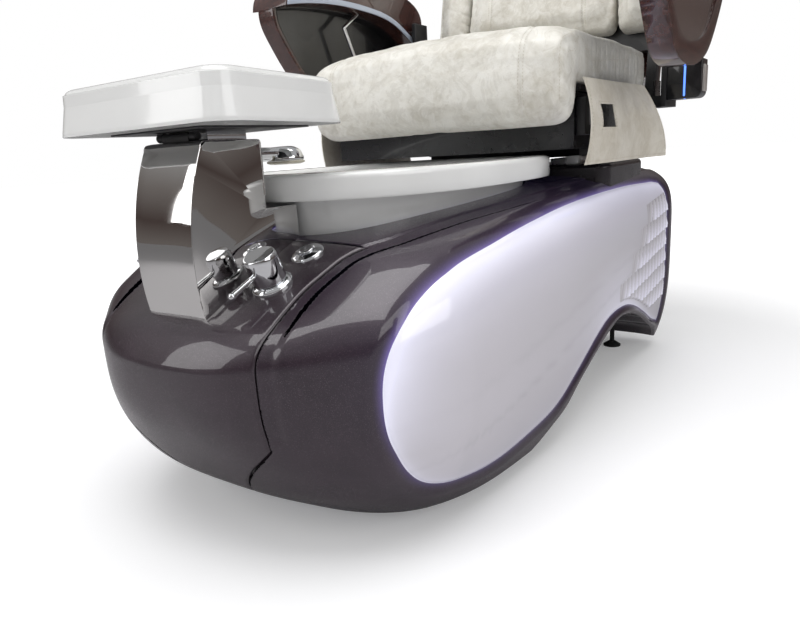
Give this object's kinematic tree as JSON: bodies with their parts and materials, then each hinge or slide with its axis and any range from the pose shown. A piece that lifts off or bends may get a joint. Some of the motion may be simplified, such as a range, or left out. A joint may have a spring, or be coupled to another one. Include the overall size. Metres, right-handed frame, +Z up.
{
  "type": "pedicure spa chair",
  "caption": "Pedicure spa chair: boat-shaped foot-spa base with lit side panels and a tub, polished tower with footrest, sprayer and mixer, and a padded chair with lifting armrests.",
  "frame": {"origin": "on the floor, under the middle of the whole chair's box", "axes": "+X to the chair's right in the picture's front view, across the chair; +Y from the footrest to the back; +Z up"},
  "size_m": [0.92, 1.4734, 1.4075],
  "materials": {
    "plum_paint": "gloss metallic lacquer with fine sparkle",
    "white_gloss": "glossy gel coat",
    "lit_panel": "translucent, lit from behind",
    "led": "light strip",
    "dark_steel": "black powder coat",
    "rubber": "matte",
    "zinc_steel": "zinc plated",
    "chrome": "polished plating",
    "mirror_steel": "mirror polished sheet",
    "cream_plastic": "glossy",
    "black_plastic": "satin",
    "cream_leather": "cream and white marbled artificial leather",
    "brown_gloss": "glossy brown lacquer",
    "pale_trim": "satin pale blue-grey"
  },
  "bodies": {
    "base": {"base_shell": "plum_paint", "nose_cover": "plum_paint", "light_panel_right": "lit_panel", "light_panel_left": "lit_panel", "led_strips": "led", "chassis": "dark_steel", "levelling_feet": "rubber", "rear_door": "plum_paint", "door_screws": "zinc_steel", "seat_step": "plum_paint", "tub": "white_gloss", "drain_fitting": "chrome", "overflow_cover": "black_plastic", "jet_motor": "black_plastic", "jet_cover": "black_plastic", "tower_front_strip": "mirror_steel", "tower_plates": "mirror_steel", "sprayer_holder": "chrome", "footrest_channel": "chrome", "hinge_block": "black_plastic", "mixer_flange": "chrome", "diverter_base": "chrome", "button_flange_ring": "chrome", "seat_tracks": "zinc_steel", "track_stops": "white_gloss"},
    "stopper": {"drain_stopper": "chrome"},
    "impeller": {"jet_impeller": "black_plastic"},
    "sprayer": {"sprayer_head": "chrome", "sprayer_face": "cream_plastic"},
    "cap": {"mixer_cap": "chrome"},
    "lever": {"mixer_lever": "chrome"},
    "diverter": {"diverter_knob": "chrome"},
    "button": {"pump_button": "chrome"},
    "footrest": {"footrest_plate": "dark_steel", "footrest_pad": "white_gloss"},
    "seat": {"seat_carriage": "dark_steel", "seat_frame": "black_plastic", "seat_cushion": "cream_leather", "side_flap_right": "cream_leather", "side_flap_left": "cream_leather", "switch_box": "black_plastic", "arm_bracket_right": "dark_steel", "arm_bracket_left": "dark_steel", "side_boxes": "black_plastic"},
    "back": {"back_frame": "dark_steel", "back_cushion": "cream_leather", "back_wing_right": "cream_leather", "back_wing_left": "cream_leather", "head_pillow": "cream_leather", "back_shell": "brown_gloss"},
    "arm_right": {"arm_shell_right": "brown_gloss", "arm_inlay_right": "brown_gloss", "arm_liner_right": "black_plastic", "arm_trim_right": "pale_trim", "arm_link_right": "chrome"},
    "arm_left": {"arm_shell_left": "brown_gloss", "arm_inlay_left": "brown_gloss", "arm_liner_left": "black_plastic", "arm_trim_left": "pale_trim", "arm_link_left": "chrome"}
  },
  "joints": [
    {"name": "footrest_tilt", "type": "hinge", "parent": "base", "child": "footrest", "pos_m": [0, -0.655, 0.5719], "axis": [1, 0, 0], "range_deg": [0, 18]},
    {"name": "sprayer_pull", "type": "slide", "parent": "base", "child": "sprayer", "axis": [0, 1, 0], "range_m": [0, 0.06]},
    {"name": "mixer_turn", "type": "hinge", "parent": "base", "child": "cap", "pos_m": [0.105, -0.617, 0.376], "axis": [0, -0.4067, 0.9135], "range_deg": [-30, 50]},
    {"name": "mixer_lift", "type": "hinge", "parent": "cap", "child": "lever", "pos_m": [0.105, -0.6395, 0.39543], "axis": [-1, 0, 0], "range_deg": [0, 20]},
    {"name": "diverter_turn", "type": "hinge", "parent": "base", "child": "diverter", "pos_m": [-0.14, -0.617, 0.376], "axis": [0, -0.4067, 0.9135], "range_deg": [0, 90]},
    {"name": "button_press", "type": "slide", "parent": "base", "child": "button", "axis": [0, 0.4067, -0.9135], "range_m": [0, 0.004], "stiffness_N_per_m": 300},
    {"name": "stopper_lift", "type": "slide", "parent": "base", "child": "stopper", "axis": [0, 0, 1], "range_m": [0, 0.01]},
    {"name": "impeller_spin", "type": "hinge", "parent": "base", "child": "impeller", "pos_m": [0, 0.12, 0.41], "axis": [0, 1, 0], "continuous": true},
    {"name": "seat_slide", "type": "slide", "parent": "base", "child": "seat", "axis": [0, 1, 0], "range_m": [-0.1, 0.05]},
    {"name": "back_recline", "type": "hinge", "parent": "seat", "child": "back", "pos_m": [0, 0.528, 0.65], "axis": [-1, 0, 0], "range_deg": [0, 40]},
    {"name": "arm_lift_right", "type": "hinge", "parent": "seat", "child": "arm_right", "pos_m": [0.4, 0.452, 0.858], "axis": [-1, 0, 0], "range_deg": [0, 75]},
    {"name": "arm_lift_left", "type": "hinge", "parent": "seat", "child": "arm_left", "pos_m": [-0.4, 0.452, 0.858], "axis": [-1, 0, 0], "range_deg": [0, 75]}
  ]
}
